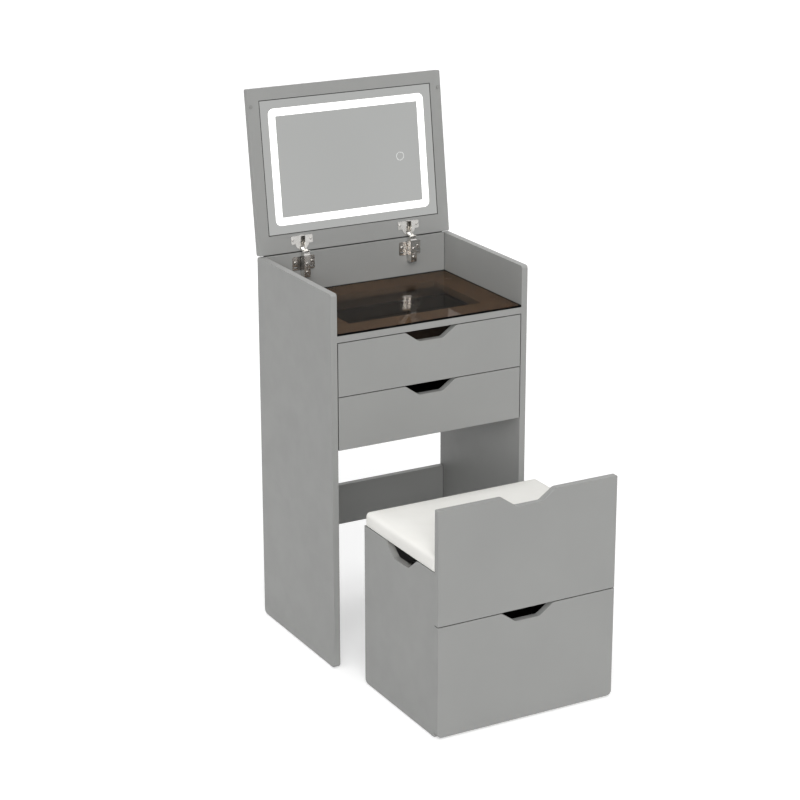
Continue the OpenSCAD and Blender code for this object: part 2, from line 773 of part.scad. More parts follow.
module hinge_arm() {
    difference() {
        union() {
            arm_cheek(-arm_x);
            arm_cheek(arm_x - arm_s);
            translate([-arm_x, arm_y, arm_z]) cube([arm_w, arm_s, web_top - arm_z]);
            plate(-arm_x, arm_x) polygon([
                [arm_y, web_top - 1], [arm_y, web_top], [nose_y, nose_pin[1] - 4], [nose_y, nose_pin[1]],
                [nose_y + arm_s, nose_pin[1]], [nose_y + arm_s, nose_pin[1] - 4 - arm_s], [arm_y + arm_s, web_top - 1]
            ]);
        }
        pin_at(rear_pin, arm_x + 1, arm_pin_r);
        pin_at(nose_pin, arm_x + 1, arm_pin_r);
        for (z = [arm_screw_z, arm_adjust_z]) translate([0, arm_y - 1, z])
            rotate([-90, 0, 0]) cylinder(h = arm_s + 2, d = 4);
        translate([0, arm_y - 1, arm_hole_z]) rotate([-90, 0, 0]) cylinder(h = arm_s + 2, d = 5.5);
    }
}

module left_hinge_arm() {
    color(steel) translate([-hinge_x, 0, 0]) hinge_arm();
}

module right_hinge_arm() {
    color(steel) translate([hinge_x, 0, 0]) hinge_arm();
}

module arm_pins() {
    color(steel) for (x = [-hinge_x, hinge_x]) translate([x, 0, 0]) {
        pin_at(rear_pin, arm_x + pin_head, arm_pin_r);
        pin_at(nose_pin, arm_x + pin_head, arm_pin_r);
    }
}

module hinge_plate_screws() {
    color(steel) for (x = [-hinge_x, hinge_x], side = [-1, 1])
        translate([x + side * wing_screw_x, back_y - plate_t, wing_screw_z])
            rotate([90, 0, 0]) screw(8, 2.2, 4, plate_t);
}

module hinge_arm_screws() {
    color(steel) for (x = [-hinge_x, hinge_x], z = [arm_screw_z, arm_adjust_z])
        translate([x, arm_y, z]) rotate([90, 0, 0]) screw(7, 2, 4, arm_s + 1.5);
}

// Outline of a band along the points p, half width w, its bends mitred
function band(p, w) =
    let (n = len(p) - 1, d = [for (i = [0:n - 1]) (p[i + 1] - p[i]) / norm(p[i + 1] - p[i])],
         m = [for (i = [0:n]) d[max(i - 1, 0)] + d[min(i, n - 1)]],
         side = [for (q = m) [-q[1], q[0]] * 2 * w / (q * q)])
    concat([for (i = [0:n]) p[i] + side[i]], [for (i = [n:-1:0]) p[i] - side[i]]);

// A slot with round ends from a to b, half width r
module slot(a, b, r) {
    u = (b - a) / norm(b - a) * r;
    v = [-u[1], u[0]];
    corners = [a - u + v, a - u - v, b + u - v, b + u + v];
    polygon(outline([for (c = corners) [c[0], c[1], r * 0.96]]));
}

// Draws a shape of the YZ plane as a plate from x0 to x1
module plate(x0, x1) {
    translate([x0, 0, 0]) rotate([90, 0, 90]) linear_extrude(height = x1 - x0) children();
}

module disc(p, r) {
    translate(p) circle(r = r);
}

// Inner link: up from the rear arm pin, over the back panel's edge and into the cup
inner_slot_end = on_circle(rear_pin, -inner_slack, bearing(rear_pin, deep_open));
elbow = [back_y - 2.4, body_h + 1.5];
throat = opened(lid_point(cup_edge + 4.8, -0.2));
link_w = 1.2;

module inner_link() {
    difference() {
        union() {
            plate(-inner_link_x, inner_link_x) slot(rear_pin, inner_slot_end, eye_r + 0.4);
            plate(-inner_link_x, inner_link_x) polygon(band([rear_pin, elbow, throat, deep_open], link_w));
            pin_at(deep_open, inner_link_x, eye_r);
        }
        pin_at(deep_open, inner_link_x + 1, cup_pin_r + pin_play);
        plate(-inner_link_x - 1, inner_link_x + 1) slot(rear_pin, inner_slot_end, arm_pin_r + link_play);
    }
}

module left_inner_link() {
    color(steel) translate([-hinge_x, 0, 0]) inner_link();
}

module right_inner_link() {
    color(steel) translate([hinge_x, 0, 0]) inner_link();
}

// Outer link: two cheeks from the arm's nose to the cup's mouth, joined by a bright web
outer_slot_end = on_circle(nose_pin, outer_slack, bearing(nose_pin, mouth_open));
web_side = bearing(nose_pin, mouth_open) + 90;
web_a = on_circle(on_circle(nose_pin, -2.5, bearing(nose_pin, mouth_open)), 2.35, web_side);
web_b = on_circle(on_circle(nose_pin, 5.8, bearing(nose_pin, mouth_open)), 2.35, web_side);

module outer_link() {
    difference() {
        union() {
            for (x = [[-outer_link_x[1], -outer_link_x[0]], outer_link_x]) {
                plate(x[0], x[1]) slot(nose_pin, outer_slot_end, eye_r + 0.5);
                plate(x[0], x[1]) polygon(band([nose_pin, mouth_open], 1.8));
                plate(x[0], x[1]) disc(mouth_open, eye_r);
            }
            plate(-outer_link_x[1], outer_link_x[1]) polygon(band([web_a, web_b], 0.6));
        }
        pin_at(mouth_open, outer_link_x[1] + 1, cup_pin_r + pin_play);
        plate(-outer_link_x[1] - 1, outer_link_x[1] + 1) slot(nose_pin, outer_slot_end, arm_pin_r + link_play);
    }
}

module left_outer_link() {
    color(steel) translate([-hinge_x, 0, 0]) outer_link();
}

module right_outer_link() {
    color(steel) translate([hinge_x, 0, 0]) outer_link();
}

// Stool side, its upper edge cut for the hand hole
module stool_side(x) {
    mid = stool_front_y + hand_in;
    color(paint) side_board(concat(
        [[stool_back_y, stool_h, 0], [stool_back_y, glide_h, foot_r], [stool_y, glide_h, 0], [stool_y, stool_h, 0]],
        notch(mid, stool_h, hand_w, hand_d, hand_flat, notch_r)
    ), x, board_t);
}

module stool_left_side() { stool_side(-stool_x); }
module stool_right_side() { stool_side(stool_inner_x); }

module stool_back() {
    color(paint) translate([-stool_inner_x, stool_back_y - board_t, base_up])
        cube([2 * stool_inner_x, board_t, stool_h - base_up]);
}

module stool_upper_front() {
    color(paint) upright_board(concat(
        [[stool_x, stool_top, 2], [stool_x, upper_front_z, 0], [-stool_x, upper_front_z, 0], [-stool_x, stool_top, 2]],
        notch(0, stool_top, notch_w, notch_d, notch_flat, notch_r)
    ), stool_front_y, board_t);
}

module stool_shelf() {
    color(paint) flat_board(stool_inner_x, stool_y, stool_back_y - board_t, upper_front_z, board_t);
}

module stool_base() {
    color(paint) flat_board(stool_inner_x, stool_y + front_gap, stool_back_y - board_t, base_up, board_t);
}

module stool_glides() {
    color(dark) for (x = [-1, 1], y = [stool_y + glide_d, stool_back_y - 2 * foot_r])
        translate([x * (stool_x - board_t / 2), y, 0]) cylinder(h = glide_h, d = glide_d);
}

stool_runner_z = stool_box_z + stool_box_h / 2;

module stool_rails() {
    color(steel) mirror_x()
        fixed_rail(stool_inner_x, stool_y + front_gap, stool_runner_z, stool_box_l);
}

module stool_drawer_front() {
    drawer_front(stool_x, stool_front_y, stool_front_z, stool_front_h, stool_box_z, stool_box_x, foot_r);
}

module stool_drawer_sides() { box_sides(stool_box_x, stool_y, stool_box_z, stool_box_l, stool_box_h); }
module stool_drawer_back() { box_back(stool_box_x, stool_y, stool_box_z, stool_box_l, stool_box_h); }
module stool_drawer_bottom() { box_bottom(stool_box_x, stool_y, stool_box_z, stool_box_l); }

module stool_drawer_rails() {
    color(steel) mirror_x() moving_rail(stool_box_x, stool_y, stool_runner_z, stool_box_l);
}

// Seat: a board inside the cover's underside, battens that drop between the stool's panels, and the cushion
seat_board_x = stool_x - seat_board_in;
seat_mid_y = (seat_front_y + seat_back_y) / 2;

module seat_board() {
    color(raw_board) flat_board(seat_board_x, seat_front_y + seat_board_in, seat_back_y - seat_board_in,
                                stool_h, seat_board_t);
}

module seat_battens() {
    x = stool_inner_x - 4 * batten_play;
    front = max(stool_y + batten_play, seat_front_y + seat_board_in);
    color(raw_board) for (y = [front, stool_back_y - board_t - batten_play - batten])
        translate([-x, y, stool_h - batten]) cube([2 * x, batten, batten]);
}

// Half size of the cushion at a height above its base, as a share of the height: drawn in at the foot,
// fullest at a third, rounded over at the top
cushion_side = seat_h - seat_crown;
cushion_rows = [for (i = [0:6]) i / 6];
function cushion_in(u) = 3.5 * pow(1 - u, 3) + 1.2 * pow(u, 3);
function corner_ring(x, y, r, n = 5) = [
    for (q = [[1, 1, 0], [-1, 1, 90], [-1, -1, 180], [1, -1, 270]], i = [0:n])
        [q[0] * (x - r) + r * cos(q[2] + 90 * i / n), q[1] * (y - r) + r * sin(q[2] + 90 * i / n)]
];

// Rings of the cushion from the base up: side rows, the rounded edge, then the crown's rows
edge_steps = 5;
crown_steps = 5;
crown_start = cushion_side - seat_r;
half_x = stool_x - 0.3;
half_y = seat_l / 2 - 0.3;

function side_rings() = [for (u = cushion_rows)
    let (z = u * crown_start, in = cushion_in(u) - cushion_in(1))
    [for (p = corner_ring(half_x - in, half_y - in, 12)) [p[0], p[1], z]]];
function edge_rings() = [for (i = [1:edge_steps])
    let (a = 90 * i / edge_steps * 0.86, in = seat_r * (1 - cos(a)), z = crown_start + seat_r * sin(a))
    [for (p = corner_ring(half_x - in, half_y - in, max(12 - in, 3))) [p[0], p[1], z]]];
crown_in = seat_r * (1 - cos(90 * 0.86));
crown_z = crown_start + seat_r * sin(90 * 0.86);
function crown_rings() = [for (i = [1:crown_steps])
    let (k = i / crown_steps, s = 1 - k * 0.9, z = crown_z + (seat_h - crown_z) * (1 - pow(1 - k, 2.2)))
    [for (p = corner_ring((half_x - crown_in) * s, (half_y - crown_in) * s, max(8 * s, 0.8))) [p[0], p[1], z]]];

module loft(rings) {
    n = len(rings[0]);
    rows = len(rings);
    polyhedron(
        points = [for (r = rings) each r],
        faces = concat(
            [[for (i = [0:n - 1]) i]],
            [for (k = [0:rows - 2], i = [0:n - 1]) [k * n + i, (k + 1) * n + i, k * n + (i + 1) % n]],
            [for (k = [0:rows - 2], i = [0:n - 1])
                [k * n + (i + 1) % n, (k + 1) * n + i, (k + 1) * n + (i + 1) % n]],
            [[for (i = [n - 1:-1:0]) (rows - 1) * n + i]]
        )
    );
}

module seat_cushion() {
    color(cover_white) difference() {
        translate([0, seat_mid_y, stool_h]) loft(concat(side_rings(), edge_rings(), crown_rings()));
        translate([0, 0, -1]) flat_board(seat_board_x, seat_front_y + seat_board_in, seat_back_y - seat_board_in,
                                         stool_h, seat_board_t + 1);
    }
}

left_side_panel();
right_side_panel();
back_panel();
rear_stretcher();
deck_frame();
glass_top();
deck_cams();
cabinet_glides();
cabinet_rails(upper_z);  // upper_cabinet_rails
cabinet_rails(lower_z);  // lower_cabinet_rails
left_mount_plate();
right_mount_plate();
left_hinge_arm();
right_hinge_arm();
arm_pins();
hinge_plate_screws();
hinge_arm_screws();
left_inner_link();
right_inner_link();
left_outer_link();
right_outer_link();
lid_panel();
mirror_glass();
light_band();
touch_ring();
led_strip();
touch_sensor();
light_driver();
lid_bumpers();
power_inlet();
left_hinge_cup();
right_hinge_cup();
cup_pins();
cup_screws();
upper_drawer_front();
upper_drawer_sides();
upper_drawer_back();
upper_drawer_bottom();
drawer_rails(upper_z);  // upper_drawer_rails
lower_drawer_front();
lower_drawer_sides();
lower_drawer_back();
lower_drawer_bottom();
drawer_rails(lower_z);  // lower_drawer_rails
stool_left_side();
stool_right_side();
stool_back();
stool_upper_front();
stool_shelf();
stool_base();
stool_glides();
stool_rails();
stool_drawer_front();
stool_drawer_sides();
stool_drawer_back();
stool_drawer_bottom();
stool_drawer_rails();
seat_board();
seat_cushion();
seat_battens();
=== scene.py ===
# %% [markdown]
# # A small dressing table with a lighted mirror lid, and its storage stool
# The boards, hinges, runners and glass come from the CAD model, which is loaded as a fixed frame.
# This lesson gives them their real finishes, upholsters the seat with a cloth simulation, and sets
# up the light and the camera. Lengths are metres: X to the right, Y to the back, Z up.

import math

import bpy
from mathutils import Matrix, Quaternion, Vector


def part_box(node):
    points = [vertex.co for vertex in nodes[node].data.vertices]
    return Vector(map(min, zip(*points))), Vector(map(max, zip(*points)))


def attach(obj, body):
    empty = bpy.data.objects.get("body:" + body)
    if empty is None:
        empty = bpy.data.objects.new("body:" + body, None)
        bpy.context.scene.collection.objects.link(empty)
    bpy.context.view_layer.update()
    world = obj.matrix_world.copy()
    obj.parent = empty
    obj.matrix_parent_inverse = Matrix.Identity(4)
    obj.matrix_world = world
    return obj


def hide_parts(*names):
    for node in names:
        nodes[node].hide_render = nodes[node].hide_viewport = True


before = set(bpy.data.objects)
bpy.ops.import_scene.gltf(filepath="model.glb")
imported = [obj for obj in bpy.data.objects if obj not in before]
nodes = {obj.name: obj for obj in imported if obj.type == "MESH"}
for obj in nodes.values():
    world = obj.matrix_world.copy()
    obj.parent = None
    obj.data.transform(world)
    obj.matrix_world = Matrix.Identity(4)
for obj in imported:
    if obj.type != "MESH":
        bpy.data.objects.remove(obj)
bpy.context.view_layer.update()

# %% [markdown]
# ## The camera
# The picture is taken from the left front, a little above the lid, with a long lens, so that the
# upright boards stay nearly parallel. The aim is on the table's own centre line, and the camera
# leans by a hair, as a hand-set tripod does.

# %% Set the camera
lens = bpy.data.cameras.new("long_lens")
lens.lens = 103.42
lens.sensor_width = 36
camera = bpy.data.objects.new("camera", lens)
bpy.context.scene.collection.objects.link(camera)
camera.location = (-2.4242, -4.2391, 2.2443)
aim = Vector((-0.0794, 0.0, 0.6187)) - camera.location
lean = math.radians(-0.066)
camera.rotation_mode = "QUATERNION"
camera.rotation_quaternion = aim.to_track_quat("-Z", "Y") @ Quaternion((0, 0, 1), lean)
bpy.context.scene.camera = camera
print("camera is", round(aim.length, 2), "m from its aim")

# %% [markdown]
# ## A workshop of small node helpers
# Every finish here is one Principled shader, with a few procedural patterns in front of it. A
# number that is the same all over is set on the shader's own socket; only patterns are linked.


# %% Make a shader and link its patterns
def finish(name, roughness, metallic=0.0, **sockets):
    """A new material: its nodes and links, and its shader with the plain numbers set."""
    material = bpy.data.materials.new(name)
    material.use_nodes = True
    tree = material.node_tree
    shader = tree.nodes["Principled BSDF"]
    shader.inputs["Roughness"].default_value = roughness
    shader.inputs["Metallic"].default_value = metallic
    for socket, value in sockets.items():
        shader.inputs[socket.replace("_", " ")].default_value = value
    return material, tree, shader


def drive(tree, shader, **patterns):
    """Links patterns to the shader's sockets."""
    for socket, pattern in patterns.items():
        tree.links.new(pattern, shader.inputs[socket.replace("_", " ")])


# %% [markdown]
# The patterns read Object coordinates, in metres, so a noise with a scale of 1000 has grains about
# 1 mm wide. A noise stays mostly between 0.35 and 0.65, and the two maps spread that part out.


# %% Make patterns
def place(tree, stretch=(1, 1, 1)):
    """Object coordinates, stretched along the axes."""
    where = tree.nodes.new("ShaderNodeTexCoord")
    mapping = tree.nodes.new("ShaderNodeMapping")
    mapping.inputs["Scale"].default_value = stretch
    tree.links.new(where.outputs["Object"], mapping.inputs["Vector"])
    return mapping.outputs["Vector"]


def cloud(tree, where, scale, detail=3.0, rough=0.5):
    """A noise pattern's grey value, from 0 to 1."""
    noise = tree.nodes.new("ShaderNodeTexNoise")
    noise.inputs["Scale"].default_value = scale
    noise.inputs["Detail"].default_value = detail
    noise.inputs["Roughness"].default_value = rough
    tree.links.new(where, noise.inputs["Vector"])
    return noise.outputs["Fac"]


def between(tree, value, low, high, start=0.35, end=0.65):
    """Maps a pattern's values from start to end to numbers from low to high."""
    ranger = tree.nodes.new("ShaderNodeMapRange")
    limits = {"From Min": start, "From Max": end, "To Min": low, "To Max": high}
    for socket, number in limits.items():
        ranger.inputs[socket].default_value = number
    tree.links.new(value, ranger.inputs["Value"])
    return ranger.outputs["Result"]


def tints(tree, value, stops):
    """Maps a pattern to colours: stops are (place, (r, g, b))."""
    ramp = tree.nodes.new("ShaderNodeValToRGB")
    points = ramp.color_ramp.elements
    while len(points) < len(stops):
        points.new(0.5)
    for point, (position, colour) in zip(points, stops):
        point.position = position
        point.color = (*colour, 1)
    tree.links.new(value, ramp.inputs["Fac"])
    return ramp.outputs["Color"]


def two_tones(tree, value, first, second):
    """Colours that wander between two close tones."""
    return tints(tree, value, [(0.3, first), (0.7, second)])


# %% [markdown]
# Fine grain is a bump, because a dimple is far smaller than a sensible mesh. Narrow gaps between
# parts get painted shade: the Ambient Occlusion node measures how open the air over a point is,
# and mixes in a dark tone where it is nearly shut.


# %% Add bumps and painted shade in gaps
def relief(tree, shader, heights):
    """Chains bumps into the shader's normal: heights are (value, depth in metres, strength)."""
    last = None
    for value, depth, strength in heights:
        bump = tree.nodes.new("ShaderNodeBump")
        bump.inputs["Distance"].default_value = depth
        bump.inputs["Strength"].default_value = strength
        tree.links.new(value, bump.inputs["Height"])
        if last is not None:
            tree.links.new(last, bump.inputs["Normal"])
        last = bump.outputs["Normal"]
    tree.links.new(last, shader.inputs["Normal"])


def blend(tree, factor, off, on):
    """Mixes two colours or colour patterns: off at factor 0 and on at factor 1."""
    mix = tree.nodes.new("ShaderNodeMix")
    mix.data_type = "RGBA"
    tree.links.new(factor, mix.inputs["Factor"])
    colour_a, colour_b = mix.inputs[6], mix.inputs[7]
    for value, socket in ((off, colour_a), (on, colour_b)):
        if isinstance(value, tuple):
            socket.default_value = (*value, 1)
        else:
            tree.links.new(value, socket)
    return mix.outputs[2]


def paint_shade_in_hollows(tree, pattern, dark, size):
    """Paints shade into a pattern of colours, in gaps and hollows narrower than a size."""
    hollow = tree.nodes.new("ShaderNodeAmbientOcclusion")
    hollow.inputs["Distance"].default_value = size
    # painted shade: where the AO node finds little open air, the colour turns to the dark tone
    open_air = between(tree, hollow.outputs["AO"], 0.0, 1.0, start=0.22, end=0.72)
    return blend(tree, open_air, dark, pattern)


# %% [markdown]
# A CAD node keeps its mesh. It gets its finish through its material slots.


# %% Dress the CAD nodes
def wear(names, material):
    """Gives CAD nodes a finish, in every one of their material slots."""
    for name in names:
        mesh = nodes[name].data
        if not mesh.materials:
            mesh.materials.append(material)
        for index in range(len(mesh.materials)):
            mesh.materials[index] = material
    print(material.name, "on", len(names), "nodes")


# %% [markdown]
# ## Grey paint on fibreboard
# The boards are fibreboard with a factory paint: satin, grey, with the faint dimples that a spray
# gun leaves and a hardly visible cloudiness. Two close greys follow a wide noise, a fine noise
# about a millimetre wide gives the dimples as a very shallow bump, and painted shade makes the
# seams between boards nearly black. The deck under the glass has the same paint without that
# painted shade, because the sheet lies so close over it that all of it would count as a gap.


# %% Paint the boards
def grey_paint(name, gaps):
    """The factory paint; gaps says whether shade is painted into the narrow gaps between boards."""
    paint, tree, shader = finish(name, 0.5, Specular_IOR_Level=0.4)
    where = place(tree)
    wide = cloud(tree, where, 5.0)
    greys = two_tones(tree, wide, (0.268, 0.270, 0.263), (0.282, 0.284, 0.276))
    if gaps:
        # painted shade: a near-black is mixed into the narrow seams between boards
        greys = paint_shade_in_hollows(tree, greys, dark=(0.035, 0.035, 0.034), size=0.004)
    satin = between(tree, cloud(tree, where, 22.0), 0.44, 0.54)
    drive(tree, shader, Base_Color=greys, Roughness=satin)
    dimples = cloud(tree, where, 650.0, detail=2.0)
    relief(tree, shader, [(dimples, 0.00006, 0.35)])
    return paint


painted = [
    "left_side_panel", "right_side_panel", "back_panel", "rear_stretcher", "lid_panel",
    "upper_drawer_front", "lower_drawer_front", "stool_left_side", "stool_right_side",
    "stool_back", "stool_upper_front", "stool_shelf", "stool_base", "stool_drawer_front",
]
wear(painted, grey_paint("grey_paint", True))
wear(["deck_frame"], grey_paint("grey_paint_under_glass", False))

# %% [markdown]
# ## Eased edges
# A painter's board never has a knife edge: the sharp corner is sanded off by less than a millimetre
# before it is sprayed, and that small round catches the light as a thin pale line. The boards'
# meshes stay as they are. A Weld modifier joins their loose triangles, and a Bevel modifier rounds
# every edge that turns sharply.


# %% Ease the boards' edges
def join_triangles(node):
    """Welds a CAD node's loose triangles with a live modifier."""
    weld = node.modifiers.new("weld", "WELD")
    weld.merge_threshold = 0.00002


def ease_edges(names, width, sharp=math.radians(40)):
    """Rounds the edges of CAD nodes that turn more than an angle, over a small width."""
    for name in names:
        join_triangles(nodes[name])
        ease = nodes[name].modifiers.new("ease", "BEVEL")
        ease.width = width
        ease.segments = 2
        ease.limit_method = "ANGLE"
        ease.angle_limit = sharp
        ease.harden_normals = True
    print("eased the edges of", len(names), "nodes by", round(1000 * width, 1), "mm")


ease_edges(painted + ["deck_frame"], 0.0007)

# %% [markdown]
# ## Smoked glass
# The tray's bottom is a sheet of brown smoked glass. What lies under it shows through dimly, and
# it mirrors the hinges and the back panel above it. The shader transmits light through a brown
# tint, and it has a very slow waviness, as float glass has. The cut edges look nearly black,
# because there one looks along the whole sheet, so a narrow strip round the sheet is dark.


# %% Find the edges of a sheet
def reach(tree, where, direction, start, end):
    """0 within a distance from the origin along a direction, either way, and 1 past it."""
    along = tree.nodes.new("ShaderNodeVectorMath")
    along.operation = "DOT_PRODUCT"
    along.inputs[1].default_value = direction
    tree.links.new(where, along.inputs[0])
    size = tree.nodes.new("ShaderNodeMath")
    size.operation = "ABSOLUTE"
    tree.links.new(along.outputs["Value"], size.inputs[0])
    return between(tree, size.outputs[0], 0.0, 1.0, start, end)


def near_edge(tree, where, middle, halves, inner, outer):
    """0 on a sheet and 1 on a strip along its edges; halves are (direction, half width) pairs."""
    centred = tree.nodes.new("ShaderNodeVectorMath")
    centred.operation = "SUBTRACT"
    centred.inputs[1].default_value = middle
    tree.links.new(where, centred.inputs[0])
    strip = tree.nodes.new("ShaderNodeMath")
    strip.operation = "MAXIMUM"
    for (direction, half), socket in zip(halves, strip.inputs):
        past = reach(tree, centred.outputs[0], direction, half - inner, half - outer)
        tree.links.new(past, socket)
    return strip.outputs[0]


# %% [markdown]
# Clear glass lets light through to what lies under it, but a renderer's shadow rays stop at it. So
# the sheet is half open for shadow rays only, and whole for everything that looks at it.

# %% Smoke the glass
smoked, tree, shader = finish("smoked_glass", 0.01, IOR=1.1, Transmission_Weight=1.0)
where = place(tree)
slow = cloud(tree, where, 3.0)
browns = two_tones(tree, slow, (0.32, 0.232, 0.163), (0.35, 0.256, 0.180))
near_black = (0.004, 0.003, 0.002)
sheet_low, sheet_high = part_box("glass_top")
half = (sheet_high - sheet_low) / 2
sides = [((1, 0, 0), half.x), ((0, 1, 0), half.y)]
cut = near_edge(tree, where, sheet_low + half, sides, inner=0.0005, outer=0.0004)
shadow_ray = tree.nodes.new("ShaderNodeLightPath").outputs["Is Shadow Ray"]
half_open = between(tree, shadow_ray, 1.0, 0.5, start=0.0, end=1.0)
drive(tree, shader, Base_Color=blend(tree, cut, browns, near_black), Alpha=half_open)
relief(tree, shader, [(cloud(tree, where, 7.0, detail=1.0), 0.0001, 0.1)])
wear(["glass_top"], smoked)

# %% [markdown]
# The sheet lies flat on the deck, and two faces in one place fight for the picture. A Displace
# modifier draws the glass in by a tenth of a millimetre, so that a film of air is left.

# %% Leave a film of air under the glass
film = 0.0001
sheet = nodes["glass_top"]
join_triangles(sheet)
clearance = sheet.modifiers.new("clearance", "DISPLACE")
clearance.strength = -film
clearance.mid_level = 0.0
print("glass is drawn in by", round(1000 * film, 1), "mm")

# %% [markdown]
# ## Bright nickel
# The concealed hinges are pressed from steel strip and nickel plated. The plating is bright but
# not a mirror: pressing leaves faint waves, and handling leaves patches that are a bit duller.
# Painted shade makes the hollows between the thin links dark, and the pressed edges are round.

# %% Plate the hinges
nickel, tree, shader = finish("nickel_plate", 0.25, 1.0)
where = place(tree)
patches = cloud(tree, where, 60.0)
plating = two_tones(tree, patches, (0.66, 0.645, 0.62), (0.74, 0.725, 0.70))
# painted shade: the plating turns near-black in the hollows between the links
plating = paint_shade_in_hollows(tree, plating, dark=(0.03, 0.028, 0.026), size=0.008)
drive(tree, shader, Base_Color=plating, Roughness=between(tree, patches, 0.16, 0.24))
relief(tree, shader, [(cloud(tree, where, 2500.0, detail=2.0), 0.00001, 0.15)])
hinges = [
    "left_mount_plate", "right_mount_plate", "left_hinge_arm", "right_hinge_arm", "arm_pins",
    "hinge_plate_screws", "hinge_arm_screws", "left_inner_link", "right_inner_link",
    "left_outer_link", "right_outer_link", "left_hinge_cup", "right_hinge_cup", "cup_pins",
    "cup_screws",
]
wear(hinges, nickel)
ease_edges(hinges, 0.0003)

# %% [markdown]
# ## Zinc
# The drawer runners and the cam fittings are zinc plated: greyer and duller than nickel, with the
# small flat crystals, called spangle, that Voronoi cells show well.

# %% Plate the runners
zinc, tree, shader = finish("zinc_plate", 0.38, 1.0)
where = place(tree)
cells = tree.nodes.new("ShaderNodeTexVoronoi")
cells.inputs["Scale"].default_value = 260.0
tree.links.new(where, cells.inputs["Vector"])
spangle = cells.outputs["Distance"]
crystals = tints(tree, spangle, [(0.1, (0.47, 0.48, 0.49)), (0.6, (0.60, 0.61, 0.61))])
dull = between(tree, cloud(tree, where, 300.0), 0.32, 0.46)
drive(tree, shader, Base_Color=crystals, Roughness=dull)
relief(tree, shader, [(spangle, 0.00003, 0.4)])
wear([
    "upper_cabinet_rails", "lower_cabinet_rails", "upper_drawer_rails", "lower_drawer_rails",
    "stool_rails", "stool_drawer_rails", "deck_cams",
], zinc)

# %% [markdown]
# ## The mirror
# The mirror is silvered glass in a shallow pocket of the lid. A fine grey line is painted along its
# edge, as painted shade for the thin gap round it. The lid leans back when it is open, so the
# mirror's half height is measured along the lid, from the mirror's own points.

# %% Silver the mirror
mirror, tree, shader = finish("silvered_glass", 0.01, 1.0)
where = place(tree)
silver = two_tones(tree, cloud(tree, where, 4.0), (0.848, 0.850, 0.842), (0.862, 0.864, 0.856))
# painted shade: a grey strip along the mirror's edge for the thin gap round it
painted_gap_shade_grey = (0.26, 0.26, 0.25)
lid_lean = math.radians(7.6)
lid_up = Vector((0, math.sin(lid_lean), math.cos(lid_lean)))
mirror_low, mirror_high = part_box("mirror_glass")
middle = (mirror_low + mirror_high) / 2
offsets = [vertex.co - middle for vertex in nodes["mirror_glass"].data.vertices]
half_w = max(offset.x for offset in offsets)
half_h = max(offset.dot(lid_up) for offset in offsets)
sides = [((1, 0, 0), half_w), (lid_up, half_h)]
rim = near_edge(tree, where, middle, sides, inner=0.0009, outer=0.0007)
polish = between(tree, cloud(tree, where, 60.0), 0.008, 0.014)
drive(tree, shader, Base_Color=blend(tree, rim, silver, painted_gap_shade_grey), Roughness=polish)
print("mirror is", round(2000 * half_w), "x", round(2000 * half_h), "mm")
wear(["mirror_glass"], mirror)

# %% [markdown]
# ## The mirror's light
# The light band and the touch ring are places where the silver has been blasted away, so that the
# lamps behind shine through an even white frosting. The band glows at about the strength of white
# paper, so that it reads as lit without lighting the room, and the ring glows at half of that.


# %% Frost the band and the ring
def frosting(name, first, second, glow):
    """Blasted glass between two tones, lit from behind with some strength."""
    frosted, tree, shader = finish(name, 0.6, Emission_Strength=glow)
    where = place(tree)
    sparkle = cloud(tree, where, 1800.0, detail=2.0)
    tones = two_tones(tree, sparkle, first, second)
    lit = two_tones(tree, cloud(tree, where, 9.0), (0.97, 0.98, 0.96), (1.0, 1.0, 0.99))
    drive(tree, shader, Base_Color=tones, Emission_Color=lit)
    relief(tree, shader, [(sparkle, 0.00002, 0.5)])
    return frosted


wear(["light_band"], frosting("frosted_light", (0.90, 0.91, 0.89), (0.95, 0.95, 0.94), 0.75))
wear(["touch_ring"], frosting("touch_mark", (0.40, 0.41, 0.40), (0.46, 0.47, 0.46), 0.38))

# %% [markdown]
# ## What is behind the mirror
# A tape with a light chip every few millimetres, a touch sensor and a small driver box sit in the
# lid's hollow, and a round socket in its outer face takes a low-voltage plug. Voronoi cells without
# randomness make an even row of yellow chips on the white tape.

# %% Print the light tape
tape, tree, shader = finish("light_tape", 0.5)
chips = tree.nodes.new("ShaderNodeTexVoronoi")
chips.feature = "F1"
chips.inputs["Scale"].default_value = 110.0
chips.inputs["Randomness"].default_value = 0.0
tree.links.new(place(tree), chips.inputs["Vector"])
chip, white_tape = (0.85, 0.72, 0.25), (0.86, 0.86, 0.80)
row = tints(tree, chips.outputs["Distance"], [(0.22, chip), (0.26, white_tape)])
drive(tree, shader, Base_Color=row)
wear(["led_strip"], tape)

# %% [markdown]
# The boxes, the socket and the glides are moulded in black plastic, with the fine grain of a mould
# that was etched.

# %% Mould the black plastic
plastic, tree, shader = finish("black_plastic", 0.45)
grain = cloud(tree, place(tree), 1500.0, detail=2.0)
blacks = two_tones(tree, grain, (0.016, 0.016, 0.017), (0.026, 0.026, 0.027))
drive(tree, shader, Base_Color=blacks, Roughness=between(tree, grain, 0.38, 0.55))
relief(tree, shader, [(grain, 0.00005, 0.5)])
wear(["touch_sensor", "light_driver", "power_inlet", "cabinet_glides", "stool_glides"], plastic)

# %% [markdown]
# Two soft clear bumpers keep the lid from slamming. They take the paint's grey from under them, so
# they are a pale rubber that is a quarter see-through.

# %% Cast the clear bumpers
rubber, tree, shader = finish("clear_bumper", 0.4, IOR=1.4, Alpha=0.75)
where = place(tree)
milky = two_tones(tree, cloud(tree, where, 300.0), (0.30, 0.30, 0.29), (0.34, 0.34, 0.33))
drive(tree, shader, Base_Color=milky)
relief(tree, shader, [(cloud(tree, where, 500.0), 0.00003, 0.3)])
wear(["lid_bumpers"], rubber)

# %% [markdown]
# ## Raw board
# The seat's board and battens aren't painted. They are pale plywood, with long streaks of grain.
# The noise is squeezed across the grain and stretched along it, once along Y for the board and once
# along X for the battens, which run across.


